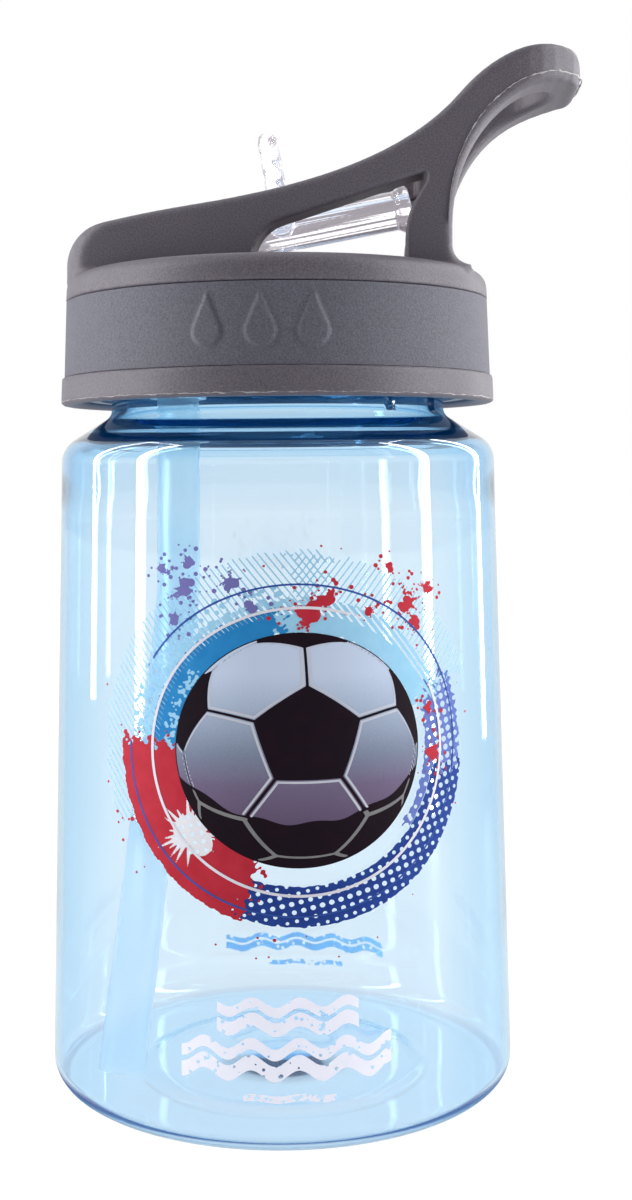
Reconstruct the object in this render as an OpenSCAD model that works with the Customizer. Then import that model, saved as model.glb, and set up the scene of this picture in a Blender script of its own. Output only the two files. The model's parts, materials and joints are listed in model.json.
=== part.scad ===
// Kids water bottle: a clear bottle with a screw lid, a flip-up spout, a straw and a carry loop.
// Millimetres. +Z is up, the origin is the centre of the foot, and the carry loop points along +X.

/* [Bottle] */
// Outer radius of the wall just above the foot
foot_r = 37; // [35:0.1:39]
// Outer radius of the wall just below the shoulder
wall_top_r = 35.1; // [34.5:0.1:36]
// Height at which the wall turns into the shoulder
shoulder_z = 98.3; // [92:0.1:100]
// Outer radius of the neck
neck_r = 27; // [26.8:0.1:27.2]
// Height of the mouth's rim
rim_z = 122.6; // [122:0.1:122.8]
// Thickness of the bottle's wall
wall_t = 1; // [0.8:0.1:1.4]

/* [Screw thread] */
// Rise of the lid in one turn
thread_pitch = 4.5; // [4.2:0.1:4.8]
// Turns of thread on the neck
neck_turns = 1.5; // [1:0.25:1.5]
// Turns of thread inside the lid
lid_turns = 1; // [0.5:0.25:1]

/* [Lid] */
// Outer radius of the lid at its lower edge
lid_r = 35.1; // [34.9:0.1:35.6]
// Height of the lid's lower edge
lid_z0 = 107.6; // [107.2:0.1:108]
// Height of the lid's upper face
lid_z1 = 128.4; // [128.2:0.1:128.8]
// Height of the soft grip band
band_h = 12.1; // [10:0.1:12.5]

/* [Carry bridge] */
// Width of the bridge and its loop
bridge_w = 30; // [28:0.5:32]
// Width of the channel and of the finger hole
channel_w = 16; // [15.6:0.1:17]
// Reach of the loop from the bottle's axis
loop_reach = 49.3; // [49:0.1:52]

/* [Spout] */
// Slope of the spout when it is folded down
spout_slope = 10; // [10:0.5:12]
// Length of the spout from its pivot to its mouth
spout_len = 38.9; // [36:0.1:38.9]
// Outer radius of the spout's tube
spout_r = 3.25; // [3:0.05:3.3]
// Radius of the drinking bore
bore_r = 1.75; // [1.25:0.05:2]

/* [Straw] */
// Outer radius of the straw
straw_r = 3.5; // [3.3:0.05:3.5]
// Lean of the straw's lower part
straw_lean = 15; // [12:0.5:15]

/* [Hidden] */
$fn = 96;
e = 0.01;

// Foot, shoulder and mouth of the bottle
foot_corner_r = 4;
foot_t = 0.9;                  // the shoulder and neck are thicker than the foot and wall
foot_step = [[20, 0.8], [20.9, 0.7], [22.7, 0.1], [23.6, 0]];
foot_step_in = [[20.4, foot_t + 0.9], [21.3, foot_t + 0.8], [23.1, foot_t + 0.1], [24, foot_t]];
punt = [10, 1];                // radius and height of the dome under the foot's middle
punt_in = [13, 3.1];           // and of the broader one above it, where the plastic is thick
wall_low_z = 30;               // the wall has its full thickness between these heights
wall_high_z = 90;
shoulder_corner_r = 4.5;
shoulder_turn = 57.5;          // degrees that the corner turns, from upright
shoulder_t = 1.4;
slope_t = [[0.3, 1.9], [0.55, 1.9]];   // share of the way up the sloping shoulder, thickness there
neck_base_z = 107;
neck_fillet_r = 2;
neck_t = 2.4;
neck_in_r = neck_r - neck_t;

// Threads: radial depth, width at the root, width at the crest
thread_h = 1.5;
thread_root = 2.4;
thread_crest = 1;
thread_run_out = 30;           // degrees over which each end of a thread fades away
neck_thread_z = 110.4;         // height of the neck thread's first turn
thread_offset = 1.9;           // how far the lid's thread lies below the neck's
lid_thread_start = 90;         // degrees past the neck thread's start
neck_rib = [1, 1, 2.8];        // small ribs on the neck below the thread
neck_rib_z = 106;
neck_rib_at = [-47, -24];      // degrees from +X

// The lid's inner, threaded liner
plate_t = 1.8;
liner_plate_z = 124.6;         // underside of the liner's sealing plate
liner_in_r = 28.9;
liner_out_r = 30.7;
liner_z0 = 108.4;
rib_count = 12;
rib_out_r = 32.2;
lip_r = [23, 24.4];            // the lip that keeps the gasket in place
lip_z0 = 121;
gasket_r = [24.6, 28.6];
gasket_gap = 0.05;

// The lid's outer shell
skirt_in_r = 32.4;
band_z0 = 112;
band_z1 = band_z0 + band_h;
band_seat_r = 33.2;
band_r = [34.55, 34.15];       // outer radius of the band at its lower and upper edges
drop = [2.2, 5.6];             // radius and tip height of the raised drops on the band
drop_step = 13;                // degrees from one drop to the next
drop_raise = 0.3;
shell_top_r = 34.2;
shell_edge_r = 2.4;
bead_r = 31.9;                 // snap bead that holds the liner

// The bridge: pivot, channel, posts
pivot = [-16.5, 132.7];
bridge_r = 34;                 // the hump's end follows this circle
hump_edge_r = 7;               // rounding of the hump's end
hump_edge_z = 129.9;
channel_x0 = -22.3;
stop_wall = [23, 25.2];        // the wall between the posts, behind the spout's mouth
ledge_top = 135.4;
post_x1 = 28.2;
loop_end_r = 11.5;             // rounding of the loop's end, in plan
hole_end_r = 7.5;
loop_bar = 5.2;                // width of the bar across the end of the loop
cheek_t = 1.8;                 // wall of the hollow cheeks beside the channel

// The spout's hub, pins and thumb tab
hub_r = 4.8;
hub_w = 14.4;
pin_r = 1.6;
pin_len = 3.6;
pin_gap = 0.05;
mouth_bead = [1.7, 3.8];       // length and radius of the bead at the mouth
tab_s = 18.2;                  // distance of the thumb tab from the pivot
tab_t = 2.6;
tab_w = 9;
tab_h = 16;
hub_gap = 0.3;

// The silicone seal and the straw below it
seal_r = 4.95;
seal_top = 130;
socket_r = 5;
socket_boss_r = 7;
socket_boss_z0 = 117;
collar_r = 6.6;
seal_flange = [6.6, 1.3];      // radius and thickness
seal_sleeve = [4.7, 6.6];      // radius and length
seal_bore_r = 2;
straw_t = 0.6;
straw_top = 118.4;
straw_bend_z = 84;
straw_bend_r = 60;
straw_bend_steps = 8;
straw_sides = 36;
straw_end_z = 5;
straw_heading = 249;           // the way the straw leans, in plan, in degrees from +X

// The vent
vent_x = 6;
vent_plug_r = 2.4;
vent_flange = [3.6, 1];
vent_len = 5;
vent_hole_r = 1.1;

// Points along an arc and along a cubic curve
function arc(c, r, a0, a1, n = 10) =
    [for (i = [0:n]) let (a = a0 + (a1 - a0) * i / n) [c[0] + r * cos(a), c[1] + r * sin(a)]];
function curve(p, n = 16) =
    [for (i = [0:n]) let (t = i / n, u = 1 - t)
        u * u * u * p[0] + 3 * u * u * t * p[1] + 3 * u * t * t * p[2] + t * t * t * p[3]];
function reversed(v) = [for (i = [len(v) - 1:-1:0]) v[i]];

// Half section of the bottle's outside, foot to neck.
function outer_side() = concat(
    arc([foot_r - foot_corner_r, foot_corner_r], foot_corner_r, -90, 0),
    arc([wall_top_r - shoulder_corner_r, shoulder_z], shoulder_corner_r, 0, shoulder_turn),
    reversed(arc([neck_r + neck_fillet_r, neck_base_z], neck_fillet_r, 180, 180 + shoulder_turn, 6)));

// The same for the inside, which leaves the shoulder and neck thick.
function wall_in(z) =
    foot_r - wall_t - (foot_r - wall_top_r) * (z - foot_corner_r) / (shoulder_z - foot_corner_r);
function slope_in(at, t) =
    let (n = [cos(shoulder_turn), sin(shoulder_turn)],
         low = [wall_top_r - shoulder_corner_r, shoulder_z] + shoulder_corner_r * n,
         high = [neck_r + neck_fillet_r, neck_base_z] - neck_fillet_r * n)
    low + at * (high - low) - t * n;
function inner_side() = concat(
    arc([foot_r - foot_corner_r, foot_corner_r], foot_corner_r - foot_t, -90, 0),
    [[wall_in(wall_low_z), wall_low_z], [wall_in(wall_high_z), wall_high_z]],
    arc([wall_top_r - shoulder_corner_r, shoulder_z], shoulder_corner_r - shoulder_t, 0, shoulder_turn),
    [for (s = slope_t) slope_in(s[0], s[1])],
    reversed(arc([neck_r + neck_fillet_r, neck_base_z], neck_fillet_r + neck_t, 180, 180 + shoulder_turn, 6)));

// Half section of the foot: a dome in a shallow recess, then the step to the standing ring.
function foot_side(dome, step) =
    concat([for (i = [0:8]) let (a = i / 8)
            [dome[0] * a, step[0][1] + (dome[1] - step[0][1]) * (0.5 + 0.5 * cos(180 * a))]], step);

module thread(r_wall, r_crest, z0, turns, start, bury) {
    steps = round(turns * 36);
    function fade(a) = min(1, a / thread_run_out, (turns * 360 - a) / thread_run_out);
    points = [for (i = [0:steps])
        let (a = i * turns * 360 / steps,
             k = 1.2 * fade(a) - 0.2,
             z = z0 + thread_pitch * a / 360,
             r1 = r_wall + (r_crest - r_wall) * k,
             c = [cos(a + start), sin(a + start)])
        each [[c[0] * bury, c[1] * bury, z - thread_root / 2],
              [c[0] * r1, c[1] * r1, z - thread_crest / 2],
              [c[0] * r1, c[1] * r1, z + thread_crest / 2],
              [c[0] * bury, c[1] * bury, z + thread_root / 2]]];
    outward = r_crest > r_wall;
    sides = [for (i = [0:steps - 1], j = [0:3])
        let (a = 4 * i + j, b = 4 * i + (j + 1) % 4)
        each outward ? [[a, b, a + 4], [b, b + 4, a + 4]] : [[a, a + 4, b], [b, a + 4, b + 4]]];
    n = 4 * steps;
    ends = outward ? [[2, 1, 0], [3, 2, 0], [n, n + 1, n + 2], [n, n + 2, n + 3]]
                   : [[0, 1, 2], [0, 2, 3], [n + 2, n + 1, n], [n + 3, n + 2, n]];
    polyhedron(points, concat(sides, ends), convexity = 10);
}

module bottle_body() {
    color([0.45, 0.75, 0.92, 0.5]) {
        rotate_extrude() polygon(concat(
            foot_side(punt, foot_step), outer_side(),
            [[neck_r, rim_z - 0.5], [neck_r - 0.5, rim_z], [neck_in_r + 0.5, rim_z], [neck_in_r, rim_z - 0.5]],
            reversed(inner_side()), reversed(foot_side(punt_in, foot_step_in))));
        thread(neck_r, neck_r + thread_h, neck_thread_z, neck_turns, 0, neck_r - 0.6);
        for (a = neck_rib_at) rotate(a)
            translate([neck_r - 0.3, -neck_rib[1] / 2, neck_rib_z]) cube(neck_rib);
    }
}

module threaded_liner() {
    color("gray") {
        difference() {
            union() {
                translate([0, 0, liner_plate_z]) cylinder(r = liner_out_r, h = plate_t);
                rotate_extrude() translate([liner_in_r, liner_z0])
                    square([liner_out_r - liner_in_r, liner_plate_z + e - liner_z0]);
                rotate_extrude() translate([lip_r[0], lip_z0])
                    square([lip_r[1] - lip_r[0], liner_plate_z + e - lip_z0]);
                translate([pivot[0], 0, socket_boss_z0])
                    cylinder(r = socket_boss_r, h = liner_plate_z + e - socket_boss_z0);
                for (i = [0:rib_count - 1]) rotate(360 * i / rib_count)
                    translate([liner_out_r - 0.3, -0.6, liner_z0 + 1])
                        cube([rib_out_r - liner_out_r + 0.3, 1.2, liner_plate_z + plate_t - liner_z0 - 1]);
            }
            translate([pivot[0], 0, socket_boss_z0 - 1]) cylinder(r = socket_r, h = 20);
            translate([vent_x, 0, liner_plate_z - 1]) cylinder(r = vent_plug_r + 0.05, h = 5);
        }
        thread(liner_in_r, neck_r + 0.5, neck_thread_z - thread_offset + thread_pitch * lid_thread_start / 360,
               lid_turns, lid_thread_start, liner_in_r + 0.6);
    }
}

module cap_gasket() {
    color("white") rotate_extrude() translate([gasket_r[0], rim_z + gasket_gap])
        square([gasket_r[1] - gasket_r[0], liner_plate_z - rim_z - 2 * gasket_gap]);
}

// Side view of the bridge: hump, rails and loop, above the lid's upper face.
module bridge_side() {
    hump_line = curve([[-8, 139.1], [6, 141.4], [21, 145.2], [29.6, 155]]);
    loop_top = curve([[29.6, 155], [33.4, 159.3], [38.5, 162.6], [45, 162.5]]);
    nose = concat(arc([loop_reach - 2.6, 159.9], 2.6, 80, 0), arc([loop_reach - 1.6, 158.4], 1.6, 0, -90));
    loop_under = curve([[46.5, 157], [35.5, 156.6], [post_x1, 146], [post_x1, 134]]);
    foot_fillet = reversed(arc([post_x1 + 3, lid_z1 + 3], 3, 180, 268, 8));
    polygon(concat(
        [[-bridge_r - 1, lid_z1 - 1], [-bridge_r - 1, 135.1]],
        hump_line, loop_top, nose, loop_under,
        reversed(foot_fillet), [[post_x1 + 3, lid_z1 - 1]]));
}

// Side view of the opening under each rail.
module window_side() {
    polygon(concat(
        [[-2.8, lid_z1], [-2.5, 131]],
        curve([[-2.3, 131.6], [-1.6, 133.6], [-0.2, 135], [1.6, 135.6]], 6),
        [[24, 142.6], [24.4, 142.2]],
        curve([[24.2, 141.2], [22.6, 138.8], [21.1, 136.6], [21, 133]], 8),
        [[21, lid_z1]]));
}

// Plan of the loop: straight sides and a rounded end.
module loop_plan(half, end_x, r) {
    translate([0, -half]) square([end_x - r, 2 * half]);
    translate([0, r - half]) square([end_x, 2 * (half - r)]);
    for (s = [-1, 1]) translate([end_x - r, s * (half - r)]) circle(r = r);
}

module along_y(w) {
    translate([0, w / 2, 0]) rotate([90, 0, 0]) linear_extrude(w) children();
}

module pivot_cylinder(r, w) {
    translate([pivot[0], 0, pivot[1]]) rotate([90, 0, 0]) cylinder(r = r, h = w, center = true);
}

module bridge() {
    half = channel_w / 2;
    difference() {
        intersection() {
            along_y(bridge_w + 2) bridge_side();
            union() {
                intersection() {
                    rotate_extrude() polygon(concat(
                        [[0, lid_z1 - 1], [bridge_r, lid_z1 - 1]],
                        arc([bridge_r - hump_edge_r, hump_edge_z], hump_edge_r, 0, 80),
                        [[0, hump_edge_z + hump_edge_r + 7]]));
                    translate([-40, -bridge_w / 2, lid_z1 - 1]) cube([50, bridge_w, 30]);
                }
                translate([0, 0, lid_z1 - 1]) linear_extrude(45)
                    loop_plan(bridge_w / 2, loop_reach, loop_end_r);
            }
        }
        // windows under the rails
        along_y(bridge_w + 4) window_side();
        // channel for the spout
        translate([channel_x0, -half, lid_z1]) cube([stop_wall[0] - channel_x0, channel_w, 40]);
        // finger hole
        translate([0, 0, lid_z1]) linear_extrude(40) intersection() {
            loop_plan(half, loop_reach - loop_bar, hole_end_r);
            translate([stop_wall[1], -half]) square([40, channel_w]);
        }
    }
    // ledge that the spout's mouth rests on
    translate([stop_wall[0] - 1.2, -2.5, lid_z1 - 1]) cube([1.3, 5, ledge_top - lid_z1 + 1]);
}

// The hollow inside each cheek, closed from below by the liner.
module cheek_hollow(side) {
    inner = channel_w / 2 + cheek_t;
    outer = bridge_w / 2 - cheek_t;
    difference() {
        intersection() {
            translate([0, side * (inner + outer) / 2, 0]) along_y(outer - inner)
                polygon([[-26, lid_z1 - plate_t - 1], [-26, 131.6], [-24.4, 133.4], [-6, 137.2],
                         [-5, 136], [-5, lid_z1 - plate_t - 1]]);
            translate([0, 0, lid_z1 - 4]) cylinder(r = bridge_r - cheek_t, h = 20);
        }
        pivot_cylinder(pin_r + cheek_t, bridge_w);
    }
}

module cap_shell() {
    color("dimgray") difference() {
        union() {
            rotate_extrude() polygon(concat(
                [[lid_r - 0.4, lid_z0], [lid_r, lid_z0 + 0.4], [lid_r - 0.15, band_z0], [band_seat_r, band_z0],
                 [band_seat_r, band_z1], [shell_top_r, band_z1]],
                arc([shell_top_r - shell_edge_r - 0.1, lid_z1 - shell_edge_r], shell_edge_r, 0, 90, 8),
                [[0, lid_z1], [0, lid_z1 - plate_t], [skirt_in_r, lid_z1 - plate_t], [skirt_in_r, lid_z0 + 1.5],
                 [bead_r, lid_z0 + 1], [bead_r, lid_z0 + 0.6], [skirt_in_r + 0.6, lid_z0]]));
            bridge();
            // collar round the seal
            translate([pivot[0], 0, lid_z1 - e]) cylinder(r = collar_r, h = seal_top - lid_z1);
        }
        for (side = [-1, 1]) cheek_hollow(side);
        // room for the hub, the seal and the pins
        pivot_cylinder(hub_r + hub_gap, channel_w - e);
        pivot_cylinder(pin_r + pin_gap, hub_w + 2 * pin_len + 0.6);
        translate([pivot[0], 0, lid_z1 - 5]) cylinder(r = socket_r, h = 8);
        translate([vent_x, 0, lid_z1 - 5]) cylinder(r = vent_hole_r, h = 8);
    }
}

// A drop: an arc and the two tangents that meet at its tip.
module drop_mark(r, tip) {
    a = asin(r / tip);
    polygon(concat(arc([0, 0], r, 180 - a, 360 + a, 20), [[0, tip]]));
}

module grip_band() {
    color("slategray") {
        rotate_extrude() polygon([[band_seat_r, band_z0], [band_r[0], band_z0],
                                  [band_r[1], band_z1], [band_seat_r, band_z1]]);
        for (i = [-1:1]) rotate(drop_step * i) intersection() {
            translate([0, -band_seat_r, band_z0 + band_h / 2 - drop[0] / 2]) rotate([90, 0, 0])
                linear_extrude(5) drop_mark(drop[0], drop[1]);
            translate([0, 0, band_z0])
                cylinder(r1 = band_r[0] + drop_raise, r2 = band_r[1] + drop_raise, h = band_h);
        }
    }
}

// The spout is drawn along +X from its pivot, then tilted up into its folded place.
module spout() {
    color([0.9, 0.92, 0.95, 0.4])
    translate([pivot[0], 0, pivot[1]]) rotate([0, -spout_slope, 0]) difference() {
        union() {
            rotate([0, 90, 0]) cylinder(r = spout_r, h = spout_len);
            translate([spout_len - mouth_bead[0], 0, 0]) rotate([0, 90, 0])
                cylinder(r = mouth_bead[1], h = mouth_bead[0]);
            rotate([90, 0, 0]) cylinder(r = hub_r, h = hub_w, center = true);
            rotate([90, 0, 0]) cylinder(r = pin_r, h = hub_w + 2 * pin_len, center = true);
            translate([tab_s - tab_t / 2, 0, 0]) rotate([90, 0, 90]) linear_extrude(tab_t) {
                translate([-tab_w / 2, 0]) square([tab_w, tab_h - 3]);
                translate([-tab_w / 2 + 3, 0]) square([tab_w - 6, tab_h]);
                for (s = [-1, 1]) translate([s * (tab_w / 2 - 3), tab_h - 3]) circle(r = 3);
            }
        }
        translate([-hub_r - 1, 0, 0]) rotate([0, 90, 0]) cylinder(r = bore_r, h = spout_len + hub_r + 2);
    }
}

module spout_seal() {
    flange_z0 = socket_boss_z0 - 0.1 - seal_flange[1];
    color("whitesmoke") difference() {
        translate([pivot[0], 0, 0]) union() {
            translate([0, 0, flange_z0]) cylinder(r = seal_r, h = seal_top - flange_z0);
            translate([0, 0, flange_z0]) cylinder(r = seal_flange[0], h = seal_flange[1]);
            translate([0, 0, flange_z0 - seal_sleeve[1]]) cylinder(r = seal_sleeve[0], h = seal_sleeve[1] + e);
        }
        pivot_cylinder(hub_r + pin_gap, channel_w);
        translate([pivot[0], 0, 100]) cylinder(r = seal_bore_r, h = 40);
        translate([pivot[0], 0, 100]) cylinder(r = straw_r + 0.02, h = straw_top + 0.1 - 100);
    }
}

module vent_valve() {
    flange_z0 = liner_plate_z - vent_flange[1];
    color("whitesmoke") translate([vent_x, 0, 0]) difference() {
        union() {
            translate([0, 0, flange_z0]) cylinder(r = vent_plug_r, h = vent_flange[1] + plate_t - 0.1);
            translate([0, 0, flange_z0]) cylinder(r = vent_flange[0], h = vent_flange[1]);
            translate([0, 0, flange_z0 - vent_len]) cylinder(r1 = 0.9, r2 = 2, h = vent_len + e);
        }
        translate([0, 0, flange_z0 - 2]) cylinder(r = vent_hole_r, h = 10);
        translate([-3, -0.1, flange_z0 - vent_len - 1]) cube([6, 0.2, 4.2]);
    }
}

// The straw's path, top to bottom: distance out from the upright part, height and tilt at each ring.
function straw_path() =
    let (bend = [for (i = [0:straw_bend_steps]) let (a = straw_lean * i / straw_bend_steps)
                 [straw_bend_r * (1 - cos(a)), straw_bend_z - straw_bend_r * sin(a), a]],
         last = bend[straw_bend_steps])
    concat([[0, straw_top, 0]], bend,
           [[last[0] + (last[1] - straw_end_z) * tan(straw_lean), straw_end_z, straw_lean]]);

function straw_ring(p, r) =
    [for (k = [0:straw_sides - 1]) let (t = 360 * k / straw_sides)
        [p[0] + r * cos(t) * cos(p[2]), r * sin(t), p[1] + r * cos(t) * sin(p[2])]];

function quad(a, b, c, d) = [[a, b, d], [b, c, d]];

module straw() {
    path = straw_path();
    n = straw_sides;
    rings = len(path);
    outer = [for (p = path) each straw_ring(p, straw_r)];
    inner = [for (p = path) each straw_ring(p, straw_r - straw_t)];
    q = rings * n;
    last = q - n;
    faces = [for (k = [0:n - 1]) let (j = (k + 1) % n)
        each concat(
            [for (i = [0:n:last - n]) each quad(i + k, i + j, i + n + j, i + n + k)],
            [for (i = [q:n:q + last - n]) each quad(i + j, i + k, i + n + k, i + n + j)],
            quad(j, k, q + k, q + j), quad(last + k, last + j, q + last + j, q + last + k))];
    color([0.85, 0.93, 0.95, 0.7]) translate([pivot[0], 0, 0]) rotate(straw_heading)
        polyhedron(concat(outer, inner), faces, convexity = 6);
}

bottle_body();
threaded_liner();
cap_gasket();
cap_shell();
grip_band();
spout();
spout_seal();
vent_valve();
straw();
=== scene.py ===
"""A child's drinking bottle: clear blue body with a printed football, grey screw lid with a carry loop,
clear flip-up spout and a milky straw. Lengths are written in millimetres and become metres where a mesh,
a light, the camera or a node is made."""
import json
import random
from math import asin, copysign, cos, degrees, hypot, pi, radians, sin, sqrt, tan

import bpy
import numpy as np
from mathutils import Matrix, Vector


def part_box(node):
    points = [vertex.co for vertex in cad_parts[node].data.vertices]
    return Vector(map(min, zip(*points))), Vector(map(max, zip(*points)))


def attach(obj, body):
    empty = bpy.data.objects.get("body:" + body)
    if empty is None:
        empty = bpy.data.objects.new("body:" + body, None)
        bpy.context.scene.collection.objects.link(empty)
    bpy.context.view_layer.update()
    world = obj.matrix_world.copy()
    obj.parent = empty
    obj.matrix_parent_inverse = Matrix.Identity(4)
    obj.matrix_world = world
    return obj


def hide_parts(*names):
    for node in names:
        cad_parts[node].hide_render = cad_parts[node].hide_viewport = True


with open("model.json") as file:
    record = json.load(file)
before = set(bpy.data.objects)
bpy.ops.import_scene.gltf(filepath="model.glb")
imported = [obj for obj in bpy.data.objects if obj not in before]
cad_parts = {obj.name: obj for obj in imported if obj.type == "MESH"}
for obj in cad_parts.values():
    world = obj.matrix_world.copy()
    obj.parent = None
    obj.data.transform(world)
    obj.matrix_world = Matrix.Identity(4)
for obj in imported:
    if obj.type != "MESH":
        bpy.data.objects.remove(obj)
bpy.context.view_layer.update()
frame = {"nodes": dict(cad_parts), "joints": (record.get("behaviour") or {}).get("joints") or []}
MM = 0.001
BODY_HIGH = np.array(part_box("bottle_body")[1]) / MM
LID_LOW, LID_HIGH = (np.array(c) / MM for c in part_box("cap_shell"))
BAND_LOW, BAND_HIGH = (np.array(c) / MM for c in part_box("grip_band"))
SPOUT_JOINT = next(j for j in frame["joints"] if j["name"] == "spout_flip")
PIVOT = [1000 * c for c in SPOUT_JOINT["pos_m"]]

# ---------------- body of the bottle
FOOT_R = BODY_HIGH[0]
RIM_Z = BODY_HIGH[2]
WALL_TOP_R, SHOULDER_Z = 35.1, 98.3
NECK_R, NECK_BASE_Z, NECK_T = 27.0, 107.0, 2.4
NECK_IN_R, RIM_ROUND = NECK_R - NECK_T, 0.5
WALL, FOOT_T, SHOULDER_T = 1.0, 0.9, 1.4
WALL_LOW_Z, WALL_HIGH_Z = 30, 90  # the wall is WALL thick between these
CORNER_R, BEND_R, FILLET_R, TURN = 4.0, 4.5, 2.0, 57.5
CONE_T = (0, 0.3, 0.55, 1), (SHOULDER_T, 1.9, 1.9, NECK_T)  # the cone's thickness, bend to neck
RIB_AT, RIB_HALF, RIB_Z, RIB_H = (-47, -24), 0.9, (106, 108.8), 0.7  # places and half width in degrees
THREAD_PITCH, THREAD_Z, THREAD_TURNS, THREAD_H = 4.5, 110.4, 1.5, 1.5
THREAD_HALF, THREAD_FLANK, THREAD_FADE = 1.2, 0.7, 30  # the ends fade in over so many degrees
PUNT, STEP = (10, 1.0), [(20, 0.8), (21.4, 0.8), (22.2, 0), (23.6, 0)]
PUNT_IN, STEP_IN = (13, 3.1), [(20.4, FOOT_T + 0.9), (21.8, FOOT_T + 0.9), (22.6, FOOT_T), (24, FOOT_T)]
BODY_SEGMENTS = 288


def new_object(name, verts, faces, body, smooth_angle=35.0):
    """A mesh object from millimetre vertices, shaded smooth below an angle, riding on a body."""
    mesh = bpy.data.meshes.new(name)
    mesh.from_pydata((np.asarray(verts, float) * MM).tolist(), [], [tuple(f) for f in faces])
    mesh.validate()
    mesh.shade_smooth()
    if smooth_angle < 180:
        mesh.set_sharp_from_angle(angle=radians(smooth_angle))
    obj = bpy.data.objects.new(name, mesh)
    bpy.context.scene.collection.objects.link(obj)
    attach(obj, body)
    return obj


def arc(cx, cz, r, start, end, n):
    """n + 1 points along an arc, angles in degrees."""
    return [(cx + r * cos(radians(start + (end - start) * i / n)),
             cz + r * sin(radians(start + (end - start) * i / n))) for i in range(n + 1)]


def ramp(p, q, n):
    """Points from p to q, both left out."""
    return [(p[0] + (q[0] - p[0]) * i / n, p[1] + (q[1] - p[1]) * i / n) for i in range(1, n)]


def bezier(p, n=16):
    """Points along a cubic curve with four control points."""
    out = []
    for i in range(n + 1):
        t = i / n
        w = ((1 - t) ** 3, 3 * t * (1 - t) ** 2, 3 * t * t * (1 - t), t ** 3)
        out.append(tuple(sum(a * c[k] for a, c in zip(w, p)) for k in range(2)))
    return out


def outer_side():
    """Half section of the bottle's outside, foot to neck."""
    lower = arc(FOOT_R - CORNER_R, CORNER_R, CORNER_R, -90, 0, 16)
    bend = arc(WALL_TOP_R - BEND_R, SHOULDER_Z, BEND_R, 0, TURN, 16)
    fillet = arc(NECK_R + FILLET_R, NECK_BASE_Z, FILLET_R, 180 + TURN, 180, 10)
    return lower + ramp(lower[-1], bend[0], 24) + bend + ramp(bend[-1], fillet[0], 4) + fillet


def inner_side():
    """The same for the inside: a thin foot and wall, a thicker shoulder and a thick neck."""
    lower = arc(FOOT_R - CORNER_R, CORNER_R, CORNER_R - FOOT_T, -90, 0, 16)
    wall = []
    for z in (WALL_LOW_Z, WALL_HIGH_Z):
        r = FOOT_R - WALL - (FOOT_R - WALL_TOP_R) * (z - CORNER_R) / (SHOULDER_Z - CORNER_R)
        wall.append((r, z))
    bend = arc(WALL_TOP_R - BEND_R, SHOULDER_Z, BEND_R - SHOULDER_T, 0, TURN, 16)
    fillet = arc(NECK_R + FILLET_R, NECK_BASE_Z, FILLET_R + NECK_T, 180 + TURN, 180, 10)
    smooth = bezier([lower[-1], (lower[-1][0] - 0.15, 14), (wall[0][0] + 0.1, 20), wall[0]], 8)[1:]
    upper = bezier([wall[1], (wall[1][0] - 0.05, 93), (bend[0][0], 95.5), bend[0]], 8)[1:-1]
    slope = (cos(radians(TURN)), sin(radians(TURN)))
    neck_end = (fillet[0][0] + NECK_T * slope[0], fillet[0][1] + NECK_T * slope[1])
    bend_end = (bend[-1][0] + SHOULDER_T * slope[0], bend[-1][1] + SHOULDER_T * slope[1])
    cone = []
    for i in range(1, 16):
        thick = float(np.interp(i / 16, *CONE_T))
        r, z = (b + (a - b) * i / 16 for a, b in zip(neck_end, bend_end))
        cone.append((r - thick * slope[0], z - thick * slope[1]))
    return lower + smooth + ramp(*wall, 12) + [wall[1]] + upper + bend + cone + fillet


def foot_side(dome, step):
    """Half section of the foot: a dome in a shallow recess, then the step to the standing ring."""
    height = dome[1] - step[0][1]
    rise = [(dome[0] * i / 24, step[0][1] + height * (0.5 + 0.5 * cos(pi * i / 24)))
            for i in range(25)]
    return rise + ramp(rise[-1], step[0], 6) + bezier(step, 8)


def lathe(profile, segments, bump=None):
    """Vertices and faces of a turned surface; the profile is closed, or has both ends on the axis."""
    angles = [2 * pi * k / segments for k in range(segments)]
    verts, rings = [], []
    for r, z in profile:
        if r < 1e-6:
            rings.append([len(verts)] * segments)
            verts.append((0, 0, z))
            continue
        rings.append(range(len(verts), len(verts) + segments))
        for a in angles:
            grown = r + (bump(a, r, z) if bump else 0)
            verts.append((grown * cos(a), grown * sin(a), z))
    faces = []
    closed = profile[0][0] > 1e-6
    for i in range(len(rings) - (0 if closed else 1)):
        low, up = rings[i], rings[(i + 1) % len(rings)]
        for k in range(segments):
            j = (k + 1) % segments
            face = [low[k], low[j], up[j], up[k]]
            face = [v for n, v in enumerate(face) if v != face[n - 1]]
            if len(face) > 2:
                faces.append(face)
    return verts, faces


def neck_bump(angle, r, z):
    """The thread, and two short ribs below it, as height above the neck's outside."""
    if r < NECK_R - 0.01 or r > NECK_R + 1 or z < RIB_Z[0]:
        return 0
    around = degrees(angle)
    height = 0
    for place in RIB_AT:
        off = abs((around - place + 180) % 360 - 180)
        if z < RIB_Z[1] and off < RIB_HALF:
            height = max(height, RIB_H + NECK_R - r)
    if z < NECK_BASE_Z:
        return height
    for lap in (0, 1):
        turned = around % 360 + 360 * lap
        fade = min(1, turned / THREAD_FADE, (360 * THREAD_TURNS - turned) / THREAD_FADE)
        off = abs(z - THREAD_Z - THREAD_PITCH * turned / 360)
        flank = min(1, max(0, (THREAD_HALF - off) / THREAD_FLANK))
        height = max(height, THREAD_H * max(0, fade) * flank)
    return height


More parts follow.
